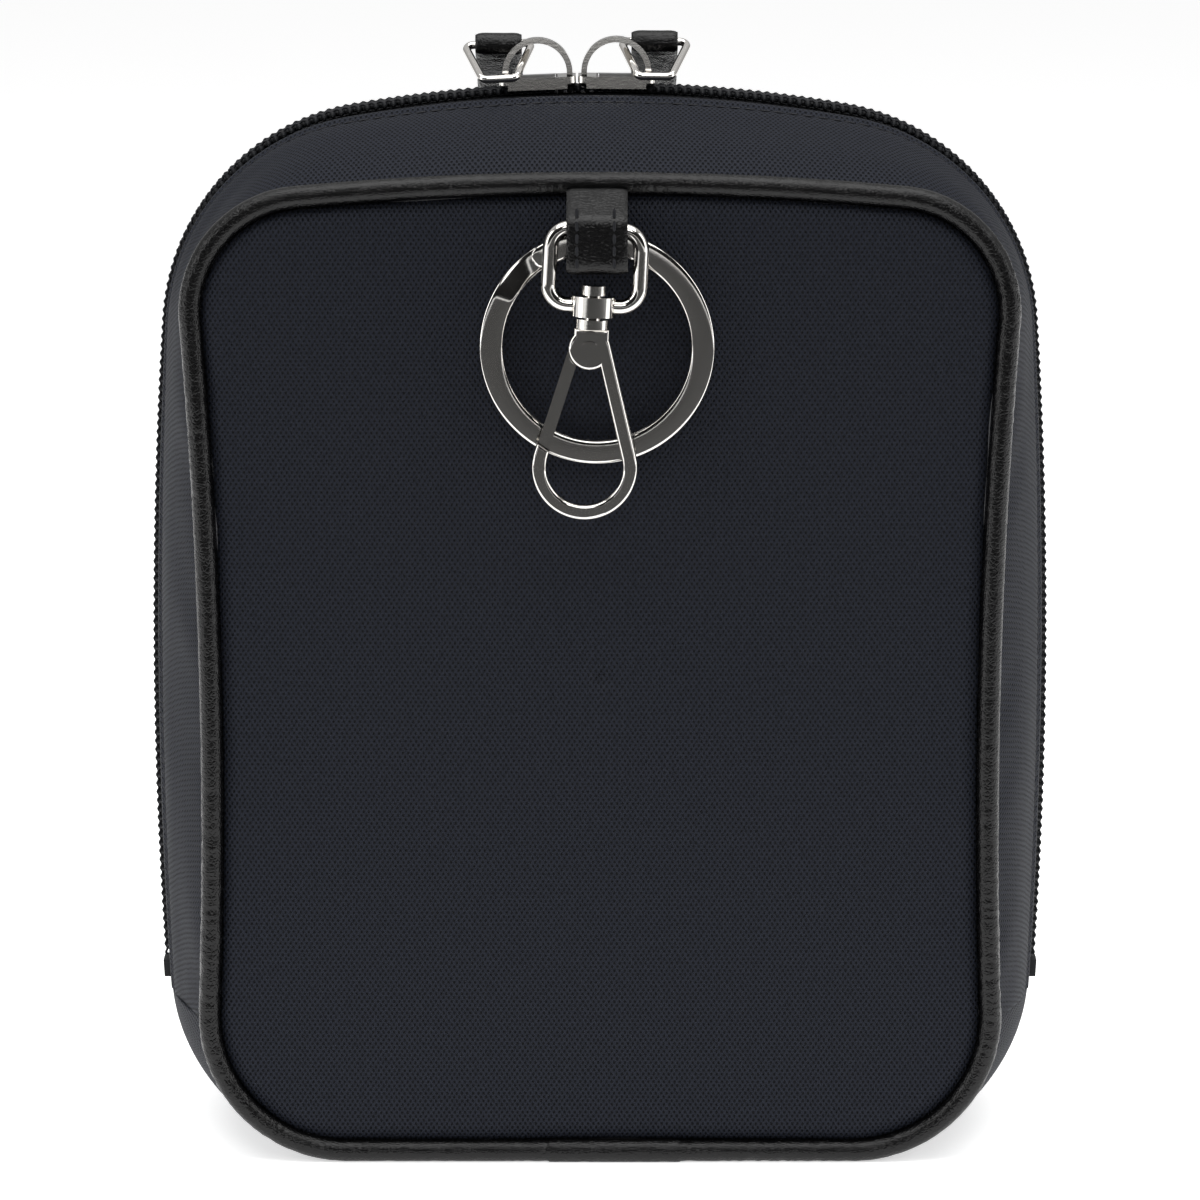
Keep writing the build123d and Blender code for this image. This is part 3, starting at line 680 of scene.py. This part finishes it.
# %% Tapes, coil turns and their sewing thread
COIL_PITCH = 1.55
TAPE_RIB = 1.1
TAPE_GROW = -0.8
for face, side, body in SIDES:
    foot = BASE_SEAM + (0.6 if side > 0 else 0.3)
    depths = side * np.linspace(0.6, 15.0, 44)
    points, along = wall_strip(depths, 460, TAPE_GROW, low=foot)
    normal = outward(points)
    ribs = 0.07 * np.cos(2 * math.pi * np.abs(points[..., 1]) / TAPE_RIB)
    tape = surface(f"{face} zip tape cloth", points + normal * ribs[..., None],
                   np.stack([along, points[..., 1]], -1), TAPE,
                   flip=fix_winding(points, normal))
    solidify(tape, 0.5)
    finish_piece(tape, body, "tape", f"{face}_zip_tape")
    lead, lead_along = wall_strip(side * np.array([0.0, 0.5]), 2000, 0.0, low=29.2)
    length = lead_along[0, -1] - lead_along[0, 0]
    turns = int(length / COIL_PITCH)
    stagger = 0.0 if side < 0 else 0.5
    target = (np.arange(turns) + stagger) * COIL_PITCH + lead_along[0, 0] + 0.4
    spot = np.stack([np.interp(target, lead_along[0], lead[0, :, c]) for c in range(3)], 1)
    tangent = np.gradient(spot, axis=0)
    tangent /= np.linalg.norm(tangent, axis=1, keepdims=True)
    across = np.broadcast_to(np.array([0.0, side, 0.0]), spot.shape)
    up = np.cross(tangent, across)
    up *= np.sign(np.sum(up * (spot - CASE_MIDDLE), 1, keepdims=True))
    lens = pill(3.5, 0.62, 8, 8, 1.15)
    lens[..., 2] += -0.25 * (lens[..., 0] / 1.75) ** 2
    frames = np.stack([across, np.cross(up, across), up], 1)
    coil = repeated(f"{face} coil turns", lens, spot + across * 1.22 + up * 0.12, frames, COIL)
    finish_piece(coil, body, "coil", f"{face}_zip_coil")
    seat, seat_along = wall_strip(side * np.array([2.15, 2.6]), 1400, 0.62, low=29.5)
    direction = np.gradient(seat[0], axis=0)
    direction /= np.linalg.norm(direction, axis=1, keepdims=True)
    normal = outward(seat)[0]
    ring = np.linspace(0.0, 2.0 * math.pi, 8, endpoint=False)
    beat = 0.16 * np.cos(2 * math.pi * seat_along[0] / COIL_PITCH)[:, None]
    radial = (0.3 * np.cos(ring))[None, :, None] * np.cross(normal, direction)[:, None]
    lift = (0.24 * np.sin(ring)[None] + beat)[..., None] * normal[:, None]
    thread_uv = np.stack(np.meshgrid(seat_along[0], np.append(ring, 6.3), indexing="ij"), -1)
    thread = surface(f"{face} coil thread", seat[0][:, None] + radial + lift, thread_uv, THREAD,
                     (False, True), caps=True)
    finish_piece(thread, body, "coil")
    print(coil.name, turns, "turns over", round(length), "mm")

# %% [markdown]
# ## The leather tab
# A strip of leather comes out of the seam, goes round the hook's bar and is sewn to itself in
# two rows. Drawn as its closed middle line, swept across the width, with real thickness.

# %% Tab, with its stitches


def rounded_path(corners, radii, step=0.25):
    """A closed polygon with round corners, as points about `step` apart."""
    corners = np.asarray(corners, float)
    out = []
    for k, here in enumerate(corners):
        before, after = corners[k - 1], corners[(k + 1) % len(corners)]
        a = (before - here) / np.linalg.norm(before - here)
        b = (after - here) / np.linalg.norm(after - here)
        half = math.acos(float(np.clip(np.dot(a, b), -1, 1))) / 2
        cut = radii[k] / math.tan(half)
        t = np.linspace(0.0, 1.0, 9)[:, None]
        p, q = here + a * cut, here + b * cut
        out.append((1 - t) ** 2 * p + 2 * t * (1 - t) * here + t ** 2 * q)
    points = np.concatenate(out)
    place, tangent, at = along_loop(points, int(np.ceil(np.sum(np.hypot(
        *np.diff(points, axis=0).T)) / step)))
    return place, tangent, at


def leather_loop(name, path, across, origin, depth_axis, up_axis, width, ply):
    """A closed strip: the path in a plane, swept across the width, edges drawn in a little."""
    place, tangent, at = path
    w = np.linspace(-1.0, 1.0, 15)
    a = np.asarray(across)[None, None]
    flat = origin + place[:, None, :1] * depth_axis + place[:, None, 1:] * up_axis
    out = (tangent[:, None, 1:] * depth_axis - tangent[:, None, :1] * up_axis)
    edge = -0.28 * np.abs(w) ** 10
    points = flat + a * (w * width / 2)[None, :, None] + out * (edge + 0.03 * waves(
        at[:, None], w[None] * 4, 8, 1.5, 5.0, 41))[..., None]
    uv = np.stack(np.meshgrid(np.append(at, at[-1] + 0.25), w * width / 2, indexing="ij"), -1)
    made = surface(name, points, uv, LEATHER, (True, False))
    solidify(made, ply, 0.0)
    bevel = made.modifiers.new("edges", "BEVEL")
    bevel.width = 0.18 * MM
    bevel.segments = 2
    bevel.limit_method = "ANGLE"
    return made


tab_low, tab_high = (np.array(c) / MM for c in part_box("hook_tab"))
HOOK_X = (tab_low[0] + tab_high[0]) / 2
TAB_PLY = 1.2
TAB_WIDTH = 10.0
TAB_STITCH = 2.1
front, back = tab_low[1] + TAB_PLY / 2, tab_high[1] - TAB_PLY / 2
tab_path = rounded_path([(back, tab_low[2] + 0.6), (back, 169.1), (-35.6, 169.1),
                         (-35.6, tab_high[2] - 0.6), (-37.6, tab_high[2] - 0.6),
                         (front, 166.5), (front, tab_low[2] + 0.6)],
                        [0.8, 0.3, 0.3, 0.5, 1.2, 2.2, 2.4])
tab = leather_loop("tab leather", tab_path, (1.0, 0.0, 0.0), np.array([HOOK_X, 0.0, 0.0]),
                   np.array([0.0, 1.0, 0.0]), np.array([0.0, 0.0, 1.0]), TAB_WIDTH,
                   TAB_PLY)
finish_piece(tab, "front_half", "leather", "hook_tab")
stitch_z = np.arange(tab_low[2] + 2.2, 168.0, TAB_STITCH)
rows = np.stack(np.meshgrid([HOOK_X - 3.4, HOOK_X + 2.9], stitch_z, indexing="ij"), -1)
rows = rows.reshape(-1, 2)
bend = np.where(rows[:, 1] > 166.0, (rows[:, 1] - 166.0) * 0.45, 0.0)
seats = np.stack([rows[:, 0], front - 0.62 + bend + 0 * rows[:, 0], rows[:, 1]], 1)
turn = np.array([[0.0, 0.0, 1.0], [1.0, 0.0, 0.0], [0.0, 1.0, 0.0]])
tab_stitches = repeated("tab stitches", pill(1.75, 0.3, 7, 8, 0.8), seats,
                        np.broadcast_to(turn, (len(seats), 3, 3)), THREAD)
finish_piece(tab_stitches, "front_half", "leather")
print("tab", tab_low, tab_high, len(seats), "stitches")

# %% [markdown]
# ## The split ring
# Spring wire of flat section wound twice. The two turns lie face to face, and at one place the
# wire steps from the back layer to the front one, with a rounded free end on each side of it.

# %% Split ring as a real two-turn coil
ring_low, ring_high = (np.array(c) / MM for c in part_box("split_ring"))
RING_CENTRE = (ring_low + ring_high) / 2
RING_RADIUS = (ring_high[0] - ring_low[0]) / 2
RING_BAND = 3.9
RING_LAYER = (ring_high[1] - ring_low[1]) / 2
JOINT_TURN = math.radians(141.0)
STEP = math.radians(13.0)
turn_at = np.linspace(STEP * 1.1, 4 * math.pi - STEP * 1.1, 900)
layer = 0.5 * RING_LAYER - RING_LAYER * smooth(2 * math.pi - STEP, 2 * math.pi + STEP, turn_at)
around = np.linspace(0.0, 2.0 * math.pi, 24, endpoint=False)
sx = np.sign(np.cos(around)) * np.abs(np.cos(around)) ** 0.42
sy = np.sign(np.sin(around)) * np.abs(np.sin(around)) ** 0.36
end_gap = np.minimum(turn_at - turn_at[0], turn_at[-1] - turn_at) * (RING_RADIUS - RING_BAND / 2)
end_round = np.sqrt(np.clip(1.0 - (1.0 - np.minimum(end_gap / 1.9, 1.0)) ** 2, 0.015, 1.0))
r = RING_RADIUS - RING_BAND / 2 + (RING_BAND / 2) * sx[None] * end_round[:, None]
theta = JOINT_TURN + turn_at[:, None]
thin = (RING_LAYER - 0.04) / 2 * sy[None] * (0.4 + 0.6 * end_round[:, None])
ring_points = np.stack([RING_CENTRE[0] + r * np.cos(theta),
                        RING_CENTRE[1] + layer[:, None] + thin,
                        RING_CENTRE[2] + r * np.sin(theta)], -1)
ring_uv = np.stack(np.meshgrid(turn_at * 18, np.append(around, 6.3), indexing="ij"), -1)
split_ring = surface("split ring coil", ring_points, ring_uv, NICKEL, (False, True), caps=True)
finish_piece(split_ring, "split_ring", "nickel", "split_ring")
print("ring radius", RING_RADIUS, "layer", RING_LAYER)

# %% [markdown]
# ## Leather pulls
# Each slider's wire link carries a strip of leather folded over it and sewn flat. The two plies
# hang down the rear of the gusset's crown, wide side up.

# %% Pulls
PULL_SLOPE = math.radians(24.0)
PULL_PLY = 0.95
PULL_STITCH = 2.1
for side_name in ("left", "right"):
    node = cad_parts[f"{side_name}_leather_pull"]
    coords = np.zeros(len(node.data.vertices) * 3, np.float32)
    node.data.vertices.foreach_get("co", coords)
    coords = coords.reshape(-1, 3) / MM
    low, high = coords.min(0), coords.max(0)
    along_axis = np.array([0.0, math.cos(PULL_SLOPE), -math.sin(PULL_SLOPE)])
    up_axis = np.array([0.0, math.sin(PULL_SLOPE), math.cos(PULL_SLOPE)])
    far = float((coords @ along_axis).max())
    near = float((coords @ along_axis).min())
    top = float((coords @ up_axis).max())
    bar_along, bar_up = near + 1.95, top - 1.95
    origin = np.array([(low[0] + high[0]) / 2, 0.0, 0.0])
    mid = 1.45
    pull_path = rounded_path([(bar_along - mid, bar_up - mid), (bar_along + 2.2, bar_up - mid),
                              (bar_along + 4.6, bar_up - 0.52), (far - 0.5, bar_up - 0.52),
                              (far - 0.5, bar_up + 0.52), (bar_along + 4.6, bar_up + 0.52),
                              (bar_along + 2.2, bar_up + mid), (bar_along - mid, bar_up + mid)],
                             [1.4, 1.2, 1.2, 0.4, 0.4, 1.2, 1.2, 1.4])
    pull = leather_loop(f"{side_name} pull leather", pull_path, (1.0, 0.0, 0.0), origin,
                        along_axis, up_axis, high[0] - low[0] - 0.2, PULL_PLY)
    finish_piece(pull, f"{side_name}_pull", "leather", f"{side_name}_leather_pull")
    stations = np.arange(bar_along + 6.0, far - 1.6, PULL_STITCH)
    seats = np.concatenate([origin + s * along_axis + (bar_up + 1.03) * up_axis
                            + np.array([x, 0.0, 0.0]) for x in (-2.8, 2.8)
                            for s in stations]).reshape(-1, 3)
    turn = np.stack([along_axis, np.array([1.0, 0.0, 0.0]), up_axis])
    stitched = repeated(f"{side_name} pull stitches", pill(1.7, 0.26, 5, 6, 0.7), seats,
                        np.broadcast_to(turn, (len(seats), 3, 3)), THREAD)
    finish_piece(stitched, f"{side_name}_pull", "leather")
    print(side_name, "pull", low.round(1), high.round(1))

# %% [markdown]
# ## Hard fittings
# The snap hook, its loop, the sliders, links, springs, rivet, cords, stops and board are the
# CAD solids. They only need a finish.

# %% Finishes of the kept solids
FINISH = {"hook_loop": NICKEL, "hook_body": NICKEL, "hook_gate": NICKEL, "gate_rivet": NICKEL,
          "gate_spring": STEEL, "base_board": BOARD, "zip_stops": COIL}
for side_name in ("left", "right"):
    FINISH[f"{side_name}_slider"] = NICKEL
    FINISH[f"{side_name}_pull_link"] = NICKEL
    FINISH[f"{side_name}_lock_spring"] = STEEL
for face, _, _ in SIDES:
    FINISH[f"{face}_piping_cord"] = CORD
for node, material in FINISH.items():
    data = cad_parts[node].data
    data.materials.clear()
    data.materials.append(material)
missing = [n for n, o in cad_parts.items() if not o.hide_render and n not in FINISH]
print("finished", len(FINISH), "solids; without a finish:", missing)

# %% [markdown]
# ## Studio
# A pale floor, a big soft light above, and two tall soft lights at the sides. In front it stays
# dark, so that the polished metal shows dark faces with bright thin edges.

# %% Floor, lights and camera


def stage_sheet(name, low, high, height, grey, rough):
    """A level rectangle between two corners in metres, and its Principled shader."""
    mesh = bpy.data.meshes.new(name)
    mesh.from_pydata([(low[0], low[1], height), (high[0], low[1], height),
                      (high[0], high[1], height), (low[0], high[1], height)],
                     [], [(0, 1, 2, 3)])
    made = bpy.data.objects.new(name, mesh)
    bpy.context.scene.collection.objects.link(made)
    material, _, shader = start_material(name)
    shader.inputs["Base Color"].default_value = (grey, grey, grey, 1.0)
    shader.inputs["Roughness"].default_value = rough
    mesh.materials.append(material)
    return made, shader


floor, floor_shader = stage_sheet("floor", (-14.0, -14.0), (14.0, 14.0), 0.0, 0.9, 0.9)
floor_shader.inputs["Specular IOR Level"].default_value = 0.0
floor_shader.inputs["Emission Color"].default_value = (1.0, 1.0, 1.0, 1.0)
floor_shader.inputs["Emission Strength"].default_value = 0.58
card = stage_sheet("dark_card", (-0.9, -2.6), (0.9, -0.3), 0.002, 0.05, 1.0)[0]
card.visible_camera = False
bpy.context.scene.view_settings.view_transform = "Standard"


def soft_light(name, place, aim, width, height, power):
    """An area light at a place, turned towards a point."""
    data = bpy.data.lights.new(name, "AREA")
    data.shape = "RECTANGLE"
    data.size, data.size_y = width, height
    data.energy = power
    made = bpy.data.objects.new(name, data)
    bpy.context.scene.collection.objects.link(made)
    made.location = place
    away = np.array(aim) - np.array(place)
    made.rotation_euler = Vector(away).to_track_quat("-Z", "Y").to_euler()
    return made


soft_light("above", (0.0, -0.25, 1.1), (0.0, 0.0, 0.1), 1.4, 1.0, 13.0)
soft_light("left", (-1.1, -0.5, 0.5), (0.0, 0.0, 0.1), 0.5, 1.0, 4.5)
soft_light("right", (1.1, -0.4, 0.5), (0.0, 0.0, 0.1), 0.5, 1.0, 4.0)
soft_light("front fill", (0.1, -1.5, 1.0), (0.0, 0.0, 0.09), 0.9, 0.35, 4.0)

world = bpy.data.worlds.new("studio")
bpy.context.scene.world = world
world.use_nodes = True
tree = world.node_tree
tree.nodes.clear()
direction = tree.nodes.new("ShaderNodeTexCoord").outputs["Generated"]
split = tree.nodes.new("ShaderNodeSeparateXYZ")
tree.links.new(direction, split.inputs[0])
dark_front = add(tree, "ShaderNodeMapRange", split.outputs[1], -0.7, 0.1, 0.02, 0.6)
lit_above = add(tree, "ShaderNodeMapRange", split.outputs[2], 0.0, 0.8, 0.7, 1.3)
studio = tree.nodes.new("ShaderNodeBackground")
tree.links.new(maths(tree, "MULTIPLY", dark_front, lit_above), studio.inputs["Strength"])
white = tree.nodes.new("ShaderNodeBackground")
white.inputs["Strength"].default_value = 1.6
mix = tree.nodes.new("ShaderNodeMixShader")
tree.links.new(tree.nodes.new("ShaderNodeLightPath").outputs["Is Camera Ray"], mix.inputs[0])
tree.links.new(studio.outputs[0], mix.inputs[1])
tree.links.new(white.outputs[0], mix.inputs[2])
tree.links.new(mix.outputs[0], tree.nodes.new("ShaderNodeOutputWorld").inputs[0])

camera_data = bpy.data.cameras.new("camera")
camera_data.lens = 174.5
camera_data.sensor_width = 36.0
camera = bpy.data.objects.new("camera", camera_data)
bpy.context.scene.collection.objects.link(camera)
TARGET = Vector((0.0, -0.036, 0.1001))
LOOK = math.radians(10.0)
camera.location = TARGET + Vector((0.0, -math.cos(LOOK), math.sin(LOOK)))
camera.rotation_euler = (TARGET - camera.location).to_track_quat("-Z", "Y").to_euler()
bpy.context.scene.camera = camera
print("camera at", tuple(round(c, 3) for c in camera.location))
